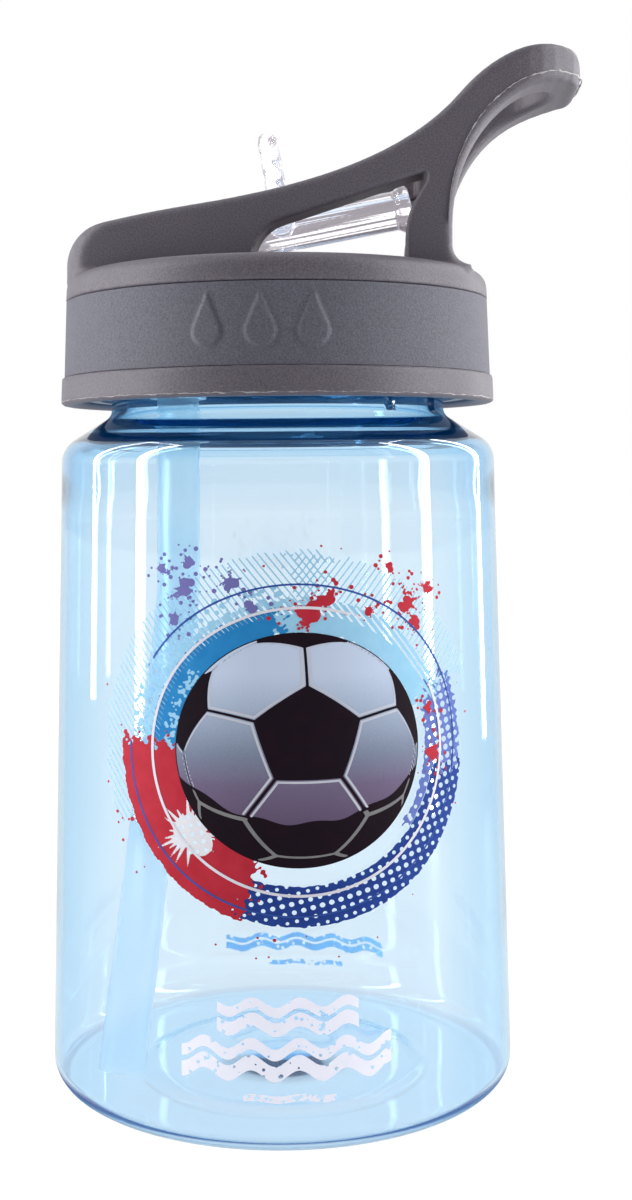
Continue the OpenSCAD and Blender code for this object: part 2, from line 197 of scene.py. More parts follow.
def make_body():
    outer = foot_side(PUNT, STEP) + outer_side()
    rim_z = RIM_Z - RIM_ROUND
    neck = ramp(outer[-1], (NECK_R, rim_z), 60)
    rim = (arc(NECK_R - RIM_ROUND, rim_z, RIM_ROUND, 0, 90, 4)
           + arc(NECK_IN_R + RIM_ROUND, rim_z, RIM_ROUND, 90, 180, 4))
    inner = (foot_side(PUNT_IN, STEP_IN) + inner_side())[::-1]
    profile = outer + neck + rim + ramp(rim[-1], inner[0], 6) + inner
    verts, faces = lathe(profile, BODY_SEGMENTS, neck_bump)
    body = new_object("bottle", verts, faces, "bottle", 50)
    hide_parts("bottle_body")
    return body


# ---------------- shapes from distance fields
def outline_distance(points, u, v):
    """Signed distance to a closed outline, negative inside."""
    p = np.asarray(points, np.float32)
    shape = np.broadcast(u, v).shape
    nearest, inside = np.full(shape, 1e9, np.float32), np.zeros(shape, bool)
    for (ax, ay), (bx, by) in zip(p, np.roll(p, -1, axis=0)):
        ex, ey = bx - ax, by - ay
        if ex * ex + ey * ey < 1e-9:
            continue
        t = np.clip(((u - ax) * ex + (v - ay) * ey) / (ex * ex + ey * ey), 0, 1)
        nearest = np.minimum(nearest, (u - ax - t * ex) ** 2 + (v - ay - t * ey) ** 2)
        if ay != by:
            inside ^= ((ay > v) != (by > v)) & (u < ex * (v - ay) / ey + ax)
    return np.where(inside, -1, 1) * np.sqrt(nearest)


def both(a, b, r):
    """Intersection whose edge is rounded to radius r."""
    return np.minimum(-r, np.maximum(a, b)) + np.hypot(np.maximum(a + r, 0), np.maximum(b + r, 0))


def either(a, b, r):
    """Union whose inside corner is filled to radius r."""
    return np.maximum(r, np.minimum(a, b)) - np.hypot(np.maximum(r - a, 0), np.maximum(r - b, 0))


def less(a, b, r):
    """a with b taken away, its new edge rounded to radius r."""
    return both(a, -b, r)


def field_axes(low, high, step):
    """The places of a grid's points along each axis."""
    return [np.arange(a, b + step, step, dtype=np.float32) for a, b in zip(low, high)]


def sample(field, at):
    """Field values between grid points, at fractional indices."""
    base = np.clip(np.floor(at).astype(int), 0, np.array(field.shape) - 2)
    f = at - base
    value = 0
    for corner in np.ndindex(2, 2, 2):
        weight = np.prod([f[:, k] if corner[k] else 1 - f[:, k] for k in range(3)], axis=0)
        value = value + weight * field[base[:, 0] + corner[0], base[:, 1] + corner[1], base[:, 2] + corner[2]]
    return value


def surface(field, low, step):
    """Vertices and quads of the field's zero surface."""
    inside = field < 0
    cells = [slice(0, -1), slice(1, None)]
    corners = list(np.ndindex(2, 2, 2))
    count = sum(inside[cells[a], cells[b], cells[c]].astype(np.int8) for a, b, c in corners)
    active = (count > 0) & (count < 8)
    cell = np.argwhere(active)
    number = np.full(active.shape, -1, np.int64)
    number[active] = np.arange(len(cell))
    total, hits = np.zeros((len(cell), 3)), np.zeros(len(cell))
    for a in corners:
        for k in range(3):
            if a[k]:
                continue
            b = tuple(1 if i == k else a[i] for i in range(3))
            fa = field[tuple((cell + a).T)]
            fb = field[tuple((cell + b).T)]
            cross = (fa < 0) != (fb < 0)
            t = np.where(cross, fa / np.where(fa == fb, 1, fa - fb), 0)
            point = np.array(a, float) + t[:, None] * (np.array(b) - np.array(a))
            total += point * cross[:, None]
            hits += cross
    at = cell + total / hits[:, None]
    for _ in range(3):
        value = sample(field, at)
        slope = np.stack([sample(field, at + d) - sample(field, at - d) for d in 0.5 * np.eye(3)], axis=1)
        ratio = value / np.maximum((slope ** 2).sum(axis=1), 1e-6)
        at = at - 0.7 * slope * ratio[:, None]
    faces = []
    for k in range(3):
        i, j = (k + 1) % 3, (k + 2) % 3
        here = [slice(1, -1)] * 3
        here[k] = slice(0, -1)
        there = list(here)
        there[k] = slice(1, None)
        a, b = inside[tuple(here)], inside[tuple(there)]
        edge = np.argwhere(a != b) + [0 if n == k else 1 for n in range(3)]
        outward = a[a != b]
        step_i, step_j = np.eye(3, dtype=int)[i], np.eye(3, dtype=int)[j]
        ring = [edge, edge - step_i, edge - step_i - step_j, edge - step_j]
        quad = np.stack([number[tuple(c.T)] for c in ring], axis=1)
        faces.append(np.where(outward[:, None], quad, quad[:, ::-1]))
    return at * step + np.asarray(low), np.concatenate(faces)


# ---------------- lid
LID_TOP, LID_CELL = 128.4, 0.4
BRIDGE_HALF, BRIDGE_R, CHANNEL_HALF = 15.0, 34.0, 8.0
BRIDGE_ROUND, HUMP_ROUND = 1.3, 1.6
CHANNEL_X0, WALL_X0, WALL_X1, POST_X1 = -22.3, 23.0, 25.2, 28.2
LOOP_REACH, LOOP_R, HOLE_R, LOOP_BAR = 49.3, 11.5, 7.5, 5.2
LOOP_UNDER = [(46.5, 157), (35.5, 156.6), (POST_X1, 146), (POST_X1, 134)]
COLLAR_R, COLLAR_Z, COLLAR_HALF, SPOUT_HOLE_R = 6.6, 128.0, 2.0, 5.0  # round the hole under the spout
HUB_ROOM_R, PIN_HOLE_R, PIN_HOLE_HALF = 5.1, 1.65, 11.1
LEDGE, LEDGE_SIZE = (22.45, 0, 131.4), (0.65, 2.5, 4)  # middle and half size
FLASH_LOOP, FLASH_EDGE, FLASH_SINK, FLASH_REACH = 0.2, 0.13, 0.15, 0.6
FLASH_UNEVEN = (0.35, 0.6, 0.8, 1, 1.3)
LOWER_EDGE_R, LOWER_EDGE_Z = 35.06, 108.15


def bridge_outline():
    """Side view of the hump, the rails and the loop."""
    top = bezier([(-8, 139.1), (6, 141.4), (21, 145.2), (29.6, 155)])
    loop_top = bezier([(29.6, 155), (33.4, 159.3), (38.5, 162.6), (45, 162.5)])
    nose = arc(LOOP_REACH - 2.6, 159.9, 2.6, 80, 0, 8) + arc(LOOP_REACH - 1.6, 158.4, 1.6, 0, -90, 6)
    fillet = arc(POST_X1 + 3, LID_TOP + 3, 3, 180, 268, 8)
    return ([(-BRIDGE_R - 1, LID_TOP - 8), (-BRIDGE_R - 1, 135.1)] + top + loop_top[1:] + nose
            + bezier(LOOP_UNDER) + fillet + [(POST_X1 + 3, LID_TOP - 8)])


def hump_end_outline():
    """Half section of the turned form that the hump's end follows."""
    return [(-1, LID_TOP - 8), (BRIDGE_R, LID_TOP - 8)] + arc(BRIDGE_R - 7, 129.9, 7, 0, 80, 12) + [(-1, 147)]


def window_outline():
    """Side view of the opening under each rail."""
    left = bezier([(-2.3, 131.6), (-1.6, 133.6), (-0.2, 135), (1.6, 135.6)], 6)
    right = bezier([(24.2, 141.2), (22.6, 138.8), (21.1, 136.6), (21, 133)], 8)
    corner = [(24, 142.6), (24.4, 142.2)]
    return [(-2.8, LID_TOP - 4), (-2.5, 131)] + left + corner + right + [(21, LID_TOP - 4)]


def plan_outline(half, end_x, r, start_x=-60):
    """Plan of the loop or of its hole."""
    tip = arc(end_x - r, half - r, r, 90, 0, 8) + arc(end_x - r, r - half, r, 0, -90, 8)
    return [(start_x, half)] + tip + [(start_x, -half)]


def shell_outline():
    """Half section of the lid's outer wall and top plate."""
    edge = arc(31.7, LID_TOP - 2.4, 2.4, 0, 90, 8)
    return ([(34.7, 107.6), (35.1, 108.0), (34.95, 112), (33.2, 112), (33.2, 124.1), (34.2, 124.1)] + edge
            + [(-1, LID_TOP), (-1, LID_TOP - 1.8), (32.4, LID_TOP - 1.8), (32.4, 109.1), (31.9, 108.6),
               (31.9, 108.2), (33, 107.6)])


def turned_field(outline, x, z, radius, step):
    """Distance to a turned outline, looked up by radius."""
    r = x[x > -1]
    flat = outline_distance(outline, r[:, None], z[None, :])
    rows = np.clip((radius[:, :, 0] - r[0]) / step, 0, len(r) - 1.001)
    base = rows.astype(int)
    part = (rows - base)[:, :, None]
    return flat[base] * (1 - part) + flat[np.minimum(base + 1, len(r) - 1)] * part


def make_lid(step):
    low = LID_LOW - 4 * step
    x, y, z = field_axes(low, LID_HIGH + 4 * step, step)
    X, Y, Z = x[:, None, None], y[None, :, None], z[None, None, :]
    radius = np.hypot(X, Y)
    shell = turned_field(shell_outline(), x, z, radius, step)
    side = outline_distance(bridge_outline(), x[:, None], z[None, :])[:, None, :]
    bridge_plan = plan_outline(BRIDGE_HALF, LOOP_REACH, LOOP_R)
    plan = outline_distance(bridge_plan, x[:, None], y[None, :])[:, :, None]
    hump_end = turned_field(hump_end_outline(), x, z, radius, step)
    plan = both(plan, np.where(X < 0, hump_end, -9), HUMP_ROUND)
    bridge = both(side, plan, BRIDGE_ROUND)
    bridge = np.maximum(bridge, LID_TOP - 1 - Z)
    hole_plan = plan_outline(CHANNEL_HALF, LOOP_REACH - LOOP_BAR, HOLE_R, WALL_X1)
    hole = outline_distance(hole_plan, x[:, None], y[None, :])[:, :, None]
    channel = np.maximum(np.maximum(CHANNEL_X0 - X, X - WALL_X0), np.abs(Y) - CHANNEL_HALF)
    window = outline_distance(window_outline(), x[:, None], z[None, :])[:, None, :]
    for gap, edge in ((hole, 1.2), (channel, 0.8), (window + 0 * Y, 0.5)):
        bridge = less(bridge, gap, edge)
    lid = either(shell, bridge, 0.7)
    from_hole = np.hypot(X - PIVOT[0], Y)
    lid = either(lid, np.maximum(from_hole - COLLAR_R, np.abs(Z - COLLAR_Z) - COLLAR_HALF), 0.3)
    from_pin = np.hypot(X - PIVOT[0], Z - PIVOT[2])
    lid = less(lid, np.maximum(from_pin - HUB_ROOM_R, np.abs(Y) - CHANNEL_HALF), 0.2)
    lid = less(lid, np.maximum(from_pin - PIN_HOLE_R, np.abs(Y) - PIN_HOLE_HALF), 0.2)
    lid = less(lid, from_hole - SPOUT_HOLE_R, 0.2)
    ledge = [np.abs(at - middle) - half for at, middle, half in zip((X, Y, Z), LEDGE, LEDGE_SIZE)]
    lid = either(lid, np.maximum(np.maximum(ledge[0], ledge[1]), ledge[2]), 0.3)
    verts, faces = surface(np.broadcast_to(lid, (len(x), len(y), len(z))).astype(np.float32), low, step)
    obj = new_object("lid", verts, faces, "lid", 180)
    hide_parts("cap_shell")
    return obj


def make_flash():
    """The thin, uneven line of flash that the mould left along the loop and round the lid's lower edge."""
    under = [(x - 0.6, z + 1.2) for x, z in bezier(LOOP_UNDER, 60)][::-1]
    straight_x, straight_y = LOOP_REACH - LOOP_R, BRIDGE_HALF - LOOP_R

    def under_z(x):
        return float(np.interp(x, [p[0] for p in under], [p[1] for p in under]))

    tip = (arc(straight_x, -straight_y, LOOP_R, -90, 0, 30)
           + ramp((LOOP_REACH, -straight_y), (LOOP_REACH, 0), 4))
    half = [(x, -BRIDGE_HALF, z) for x, z in under if x < straight_x]
    half += [(x, y, under_z(x)) for x, y in tip]
    loop = half + [(LOOP_REACH, 0, under_z(LOOP_REACH))] + [(x, -y, z) for x, y, z in half[::-1]]
    edge = [(LOWER_EDGE_R * cos(a), LOWER_EDGE_R * sin(a), LOWER_EDGE_Z)
            for a in np.radians(np.arange(0, 361, 1.5))]
    draw = random.Random(5)
    verts, faces = [], []
    for path, heavy in ((loop, FLASH_LOOP), (edge, FLASH_EDGE)):
        first = len(verts)
        for x, y, z in path:
            size = heavy * draw.choice(FLASH_UNEVEN)
            lift = draw.uniform(-0.1, 0.1)
            if path is loop and x < straight_x:
                away = np.array((0, copysign(1, y), 0))
            else:
                centre = (straight_x, np.clip(y, -straight_y, straight_y)) if path is loop else (0, 0)
                away = np.array((x - centre[0], y - centre[1], 0.0))
                away /= np.linalg.norm(away)
            at = np.array((x, y, z + lift))
            root = at - FLASH_SINK * away
            verts += [root + (0, 0, size), root - (0, 0, size), at + FLASH_REACH * size * away]
        for i in range(len(path) - 1):
            a = first + 3 * i
            faces += [(a + k, a + (k + 1) % 3, a + 3 + (k + 1) % 3, a + 3 + k) for k in range(3)]
        faces += [(first, first + 2, first + 1), (len(verts) - 3, len(verts) - 2, len(verts) - 1)]
    obj = new_object("mould_flash", verts, faces, "lid", 180)
    return obj


BAND_IN_R, BAND_LOW_R, BAND_HIGH_R, BAND_GAP = 33.25, 34.55, 34.15, 0.05
BAND_LOW_EDGE_R, BAND_TOP_EDGE_R = 34.3, 34.0
BAND_ROWS, BAND_SEGMENTS = 60, 900
DROP_R, DROP_TIP, DROP_STEP, DROP_H = 2.2, 5.6, 13, 0.3  # a raised drop; DROP_STEP is in degrees


def make_band():
    """The soft band, with three raised drops at the front."""
    z0, z1 = BAND_LOW[2], BAND_HIGH[2]
    zs = np.array([z0 + (z1 - z0) * i / BAND_ROWS for i in range(BAND_ROWS + 1)])
    lean = degrees(asin(DROP_R / DROP_TIP))
    drop = arc(0, 0, DROP_R, 180 - lean, 360 + lean, 24) + [(0, DROP_TIP)]
    drop_z = (z0 + z1) / 2 - 1.1
    angle = np.arange(BAND_SEGMENTS) * 2 * pi / BAND_SEGMENTS
    height = np.zeros((BAND_ROWS + 1, BAND_SEGMENTS))
    for step in (-DROP_STEP, 0, DROP_STEP):
        off = (angle - radians(step - 90) + pi) % (2 * pi) - pi
        near = np.abs(off) < 0.3
        d = outline_distance(drop, (34.4 * off[near])[None, :], (zs - drop_z)[:, None])
        height[:, near] = np.maximum(height[:, near], DROP_H * np.clip(0.5 - d / 0.5, 0, 1))

    def bump(a, r, z):
        if r < BAND_TOP_EDGE_R:
            return 0
        row = round((z - z0) / (z1 - z0) * BAND_ROWS)
        return height[row, round(a / (2 * pi) * BAND_SEGMENTS) % BAND_SEGMENTS]

    low, high = z0 + BAND_GAP, z1 - BAND_GAP
    face = [(BAND_LOW_R + (BAND_HIGH_R - BAND_LOW_R) * i / BAND_ROWS, min(max(z, low), high))
            for i, z in enumerate(zs)]
    profile = [(BAND_IN_R, low), (BAND_LOW_EDGE_R, low)] + face + [(BAND_TOP_EDGE_R, high), (BAND_IN_R, high)]
    verts, faces = lathe(profile, BAND_SEGMENTS, bump)
    obj = new_object("grip_band", verts, faces, "lid", 60)
    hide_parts("grip_band")
    return obj


# ---------------- spout and straw
SPOUT_SLOPE, SPOUT_CELL = 10, 0.25  # degrees that the closed spout rises towards its mouth
TUBE_R, TUBE_END, BORE_R = 3.2, 38.9, 1.75
BEAD_R, BEAD_AT, BEAD_HALF = 3.8, 38.05, 0.85
HUB_R, HUB_HALF, PIN_R, PIN_HALF = 4.8, 7.2, 1.6, 10.8
TAB_AT, TAB_T, TAB_TOP, TAB_HALF, TAB_ROUND = 18, 1.4, 13.3, 4.5, 3  # the top is without its corners
RIB_DEPTH, RIB_COUNT, TAB_UNEVEN = 0.06, 9, 0.22  # traces of the mould


def make_spout(step):
    """The spout, lying closed: tube, bead at its mouth, hub, pins and thumb tab."""
    slope = radians(SPOUT_SLOPE)
    low, high = (np.array(c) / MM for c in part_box("spout"))
    x, y, z = field_axes(low - 4 * step, high + 4 * step, step)
    X, Y, Z = x[:, None, None] - PIVOT[0], y[None, :, None], z[None, None, :] - PIVOT[2]
    along = X * cos(slope) + Z * sin(slope) + 0 * Y
    up = -X * sin(slope) + Z * cos(slope) + 0 * Y
    out = np.hypot(up, Y)
    ribs = RIB_DEPTH * np.cos(RIB_COUNT * np.arctan2(up, Y) + 1)
    tube = both(out + ribs - TUBE_R, np.maximum(-along, along - TUBE_END), 0.3)
    bead = both(out - BEAD_R, np.abs(along - BEAD_AT) - BEAD_HALF, 0.6)
    hub = both(np.hypot(along, up) - HUB_R, np.abs(Y) - HUB_HALF + 0 * along, 0.5)
    pins = both(np.hypot(along, up) - PIN_R, np.abs(Y) - PIN_HALF + 0 * along, 0.3)
    corner = TAB_HALF - TAB_ROUND
    tab_outline = (arc(corner, TAB_TOP, TAB_ROUND, 0, 90, 8) + arc(-corner, TAB_TOP, TAB_ROUND, 90, 180, 8)
                   + [(-TAB_HALF, 0), (TAB_HALF, 0)])
    tab_plan = outline_distance(tab_outline, Y + 0 * up, up)
    uneven = TAB_UNEVEN * np.sin(1.9 * up + 0.8 * Y)
    tab = both(tab_plan, np.abs(along - TAB_AT - uneven) - TAB_T - 0.6 * uneven, 1.3)
    spout = either(either(either(tube, bead, 0.8), hub, 1.2), tab, 1.2)
    spout = either(spout, pins, 0.3)
    spout = less(spout, np.maximum(out + ribs - BORE_R, -along - 6), 0.3)
    verts, faces = surface(spout.astype(np.float32), low - 4 * step, step)
    obj = new_object("spout", verts, faces, "spout", 180)
    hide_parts("spout")
    return obj


STRAW_R, STRAW_WALL, STRAW_SIDES = 3.5, 0.6, 48
STRAW_TOP, STRAW_BEND_Z, STRAW_END_Z = 118.4, 84, 5
STRAW_BEND_R, STRAW_LEAN, STRAW_HEADING = 60, 15, 249  # lean and heading in degrees


def make_straw():
    """A pipe, straight down from the spout's seal and then leaning out towards the foot."""
    heading = radians(STRAW_HEADING)
    bend = [(STRAW_BEND_R * (1 - cos(radians(a))),
             STRAW_BEND_Z - STRAW_BEND_R * sin(radians(a)), a)
            for a in np.linspace(0, STRAW_LEAN, 12)]
    u, z, _ = bend[-1]
    path = [(0, STRAW_TOP - (STRAW_TOP - STRAW_BEND_Z) * i / 6, 0) for i in range(6)] + bend
    reach = (z - STRAW_END_Z) * tan(radians(STRAW_LEAN))
    path += [(u + reach * i / 8, z - (z - STRAW_END_Z) * i / 8, STRAW_LEAN) for i in range(1, 9)]
    verts = []
    for radius in (STRAW_R, STRAW_R - STRAW_WALL):
        for u, z, tilt in path:
            tilt = radians(tilt)
            for k in range(STRAW_SIDES):
                t = 2 * pi * k / STRAW_SIDES
                a, b = u + radius * cos(t) * cos(tilt), radius * sin(t)
                verts.append((PIVOT[0] + a * cos(heading) - b * sin(heading),
                              a * sin(heading) + b * cos(heading),
                              z + radius * cos(t) * sin(tilt)))
    n, rings = STRAW_SIDES, len(path)
    faces = []
    for k in range(n):
        j = (k + 1) % n
        for i in range(rings - 1):
            a, q = i * n, (rings + i) * n
            faces.append((a + j, a + k, a + n + k, a + n + j))
            faces.append((q + k, q + j, q + n + j, q + n + k))
        last = (rings - 1) * n
        faces.append((k, j, rings * n + j, rings * n + k))
        faces.append((last + j, last + k, rings * n + last + k, rings * n + last + j))
    obj = new_object("straw", verts, faces, "lid", 50)
    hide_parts("straw")
    return obj


# ---------------- printed artwork
ART_ANGLE, ART_Z, BALL_R = 8.55, 57.4, 16.6  # degrees from the front, height, the ball's radius
ACROSS = 1.11 / 36.2  # radians round the bottle for one millimetre of artwork
ART_STEP, ART_REACH = 0.16, 31.0  # the artwork's grid: its cell and half its width
BALL_VIEW = 4.0  # distance that the ball is drawn from, in its radii
FIVE_DISTANCE, SIX_DISTANCE = 0.9393, 0.9149  # how far out the ball's two kinds of panel lie
INK_LIFT, DOT_PITCH, EMPTY = 0.02, 1.25, 9.0
# middle, size and number of arms of each splash
RED_SPLASHES = ((1.5, 19.2, 2.0, 9), (3.4, 21.2, 1.3, 8), (15.2, 20.4, 1.5, 12), (18.8, 22.3, 1.1, 10),
                (12.8, 25.4, 0.9, 8), (16.4, 17.5, 1.1, 9), (9.4, 19.4, 0.8, 8), (19.2, -2.0, 1.2, 10),
                (18.4, 4.6, 0.8, 7), (-20.2, -4.5, 1.2, 10), (-21.4, -9.8, 1.0, 9))
VIOLET_SPLASHES = ((-15.5, 22.6, 1.5, 12), (-14.8, 26.6, 0.9, 9), (-18.6, 25.5, 0.8, 7),
                   (-9.0, 23.8, 1.2, 10), (-6.2, 20.2, 0.9, 8), (-16.8, 18.2, 0.9, 9))
# name, place round the bottle, height of the middle, half length, half height, ink
WAVES = (("print_wave_1", 3.4, 20.0, 10.2, 2.4, "ribbon"), ("print_wave_2", 3.2, 14.0, 15.4, 2.7, "ribbon"),
         ("print_wave_3", 3.6, 8.6, 6.6, 0.6, "ribbon"),
         ("print_wave_4", 113.6, 8.9, 15.2, 1.5, "ribbon_back"),
         ("print_wave_5", 113.6, 5.0, 7.0, 0.5, "ribbon_back"))
WAVE_R, WAVE_STEP, WAVE_LENGTH = 36.8, 0.2, 6.8


def on_wall(angle, z, lift):
    """A point just outside the bottle's straight wall; angle is from the front, towards +X."""
    r = FOOT_R + (WALL_TOP_R - FOOT_R) * (z - 4) / (SHOULDER_Z - 4) + lift
    return r * sin(angle), -r * cos(angle), z


def print_ink(name, field, across, up, lift, mat):
    """The part of the wall where the field is negative, as a thin skin of ink."""
    index, verts, faces = {}, [], []

    def vertex(key, angle, z):
        if key not in index:
            index[key] = len(verts)
            verts.append(on_wall(angle, z, lift))
        return index[key]

    inside = (field < 0).astype(np.int8)
    touched = inside[:-1, :-1] + inside[1:, :-1] + inside[1:, 1:] + inside[:-1, 1:]
    for i, j in np.argwhere(touched > 0).tolist():
        ring = [(i, j), (i + 1, j), (i + 1, j + 1), (i, j + 1)]
        face = []
        for a, b in zip(ring, ring[1:] + ring[:1]):
            fa, fb = field[a], field[b]
            if fa < 0:
                face.append(vertex(a, across[a[0]], up[a[1]]))
            if (fa < 0) != (fb < 0):
                t = fa / (fa - fb)
                face.append(vertex((min(a, b), max(a, b)), across[a[0]] + t * (across[b[0]] - across[a[0]]),
                                   up[a[1]] + t * (up[b[1]] - up[a[1]])))
        if len(face) > 2:
            faces.append(face)
    obj = new_object(name, verts, faces, "bottle", 180)
    dress(obj, mat)
    return obj


def drops(field, axis, blobs):
    """Adds round blobs (x, y, radius) to a field, in place."""
    for x, y, r in blobs:
        i0, i1 = np.searchsorted(axis, (x - r - 1, x + r + 1))
        j0, j1 = np.searchsorted(axis, (y - r - 1, y + r + 1))
        d = np.hypot(axis[i0:i1, None] - x, axis[None, j0:j1] - y) - r
        field[i0:i1, j0:j1] = np.minimum(field[i0:i1, j0:j1], d)
    return field


def splat(draw, x, y, size, arms):
    """A splash: a lumpy middle, arms of beads that shrink outwards, and loose drops."""
    out = [(x + draw.gauss(0, size / 3), y + draw.gauss(0, size / 3), size * draw.uniform(0.3, 0.6))
           for _ in range(6)]
    for _ in range(arms):
        turn, reach = draw.uniform(0, 2 * pi), size * draw.uniform(0.8, 2.0)
        for k in range(5):
            out.append((x + reach * k / 4 * cos(turn), y + reach * k / 4 * sin(turn),
                        size * draw.uniform(0.16, 0.26) * (1 - 0.14 * k)))
    for _ in range(arms):
        turn, reach = draw.uniform(0, 2 * pi), size * draw.uniform(1.6, 3.2)
        out.append((x + reach * cos(turn), y + reach * sin(turn), draw.uniform(0.12, 0.34)))
    return out


def spikes(draw, x, y, reach, count):
    """Thin tapering rays round a splash, each a row of shrinking drops."""
    out = []
    for k in range(count):
        turn = 2 * pi * (k + draw.uniform(-0.3, 0.3)) / count
        far = reach * draw.uniform(0.45, 1.15)
        out += [(x + far * n / 14 * cos(turn), y + far * n / 14 * sin(turn), 0.5 - 0.028 * n)
                for n in range(15)]
    return out


def scatter(draw, count, reach, turn, size):
    """Loose drops; reach from the middle, turn in degrees and size lie between two values each."""
    out = []
    for _ in range(count):
        far = draw.uniform(*reach)
        angle = radians(draw.uniform(*turn))
        out.append((far * cos(angle), far * sin(angle), draw.uniform(*size)))
    return out


def ball_panels(x, y):
    """Distance to the nearest seam of a football seen from the front, negative on six-sided panels."""
    g = (1 + 5 ** 0.5) / 2
    tips = [(0, a, b * g) for a in (-1, 1) for b in (-1, 1)]
    tips = np.array([t[k:] + t[:k] for t in tips for k in range(3)]) / hypot(1, g)
    pairs = tips @ tips.T
    near = 1 / 5 ** 0.5 - 1e-6
    middles = [tips[i] + tips[j] + tips[k] for i in range(12) for j in range(i) for k in range(j)
               if min(pairs[i, j], pairs[j, k], pairs[i, k]) > near]
    middles = np.array([m / np.linalg.norm(m) for m in middles])
    front = tips[0]
    top = min((t for t in tips if near < t @ front < 0.99), key=tuple)
    upward = top - (top @ front) * front
    upward /= np.linalg.norm(upward)
    basis = np.array([np.cross(upward, front), upward, front])
    tilt = Matrix.Rotation(radians(3), 3, "Y") @ Matrix.Rotation(radians(-5.5), 3, "X")
    normals = np.concatenate([tips / FIVE_DISTANCE, middles / SIX_DISTANCE]) @ basis.T @ np.array(tilt).T
    spread = 1 / sqrt(BALL_VIEW ** 2 - 1)
    a = spread ** 2 * (x * x + y * y) + 1
    t = (BALL_VIEW - np.sqrt(np.maximum(BALL_VIEW ** 2 - a * (BALL_VIEW ** 2 - 1), 0))) / a
    x, y, depth = x * spread * t, y * spread * t, BALL_VIEW - t
    reach = np.stack([n[0] * x + n[1] * y + n[2] * depth for n in normals])
    order = np.argsort(reach, axis=0)
    first, second = order[-1], order[-2]
    gap = np.take_along_axis(reach, first[None], 0)[0] - np.take_along_axis(reach, second[None], 0)[0]
    gap = gap / np.linalg.norm(normals[first] - normals[second], axis=-1)
    return np.where(first < 12, gap, -gap)


